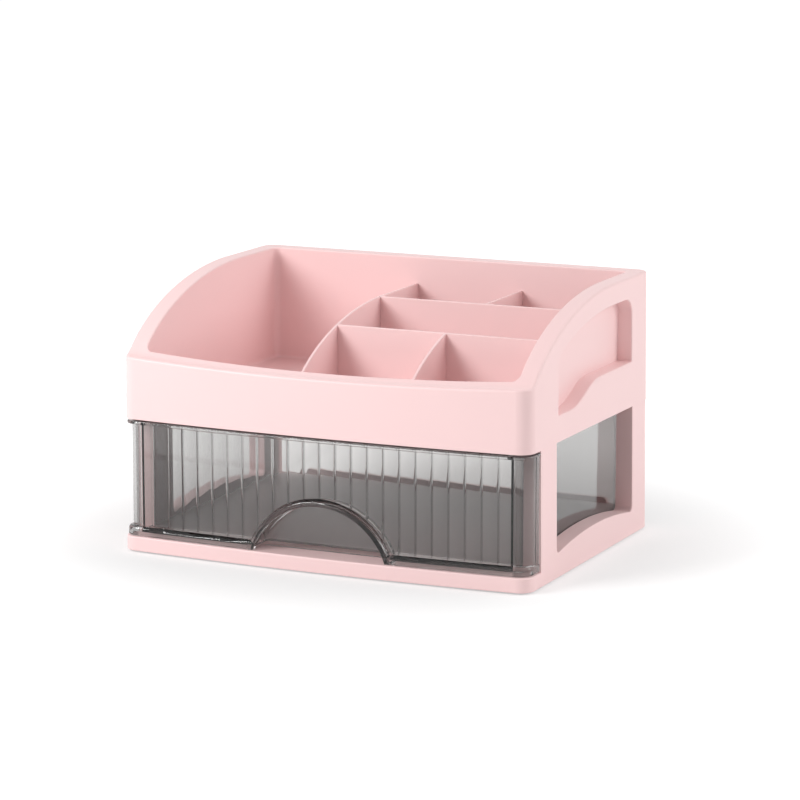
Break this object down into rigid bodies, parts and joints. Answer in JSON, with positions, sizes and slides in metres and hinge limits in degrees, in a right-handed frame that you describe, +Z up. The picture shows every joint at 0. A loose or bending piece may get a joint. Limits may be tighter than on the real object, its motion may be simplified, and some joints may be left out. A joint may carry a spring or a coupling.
{
  "type": "drawer storage box",
  "caption": "Desktop storage box with a smoked reeded drawer in a moulded frame, and a lift-off divided tray with arched sides on top.",
  "frame": {"origin": "middle of the footprint, on the surface that the pads stand on", "axes": "+Z up, +X to the right of someone in front of it, the drawer's front faces -Y"},
  "size_m": [0.245, 0.1836, 0.1492],
  "materials": {
    "pink_plastic": "satin moulded",
    "smoked_plastic": "clear grey-brown, polished",
    "pad_rubber": "matt"
  },
  "bodies": {
    "frame": {"drawer_frame": "pink_plastic", "front_left_pad": "pad_rubber", "front_right_pad": "pad_rubber", "rear_left_pad": "pad_rubber", "rear_right_pad": "pad_rubber"},
    "tray": {"top_tray": "pink_plastic", "long_partition": "pink_plastic", "front_cross_partition": "pink_plastic", "rear_cross_partition": "pink_plastic", "front_short_partition": "pink_plastic", "rear_short_partition": "pink_plastic"},
    "drawer": {"drawer": "smoked_plastic"}
  },
  "joints": [
    {"name": "drawer_slide", "type": "slide", "parent": "frame", "child": "drawer", "axis": [0, -1, 0], "range_m": [0, 0.12]},
    {"name": "tray_lift", "type": "slide", "parent": "frame", "child": "tray", "axis": [0, 0, 1], "range_m": [0, 0.03]}
  ]
}
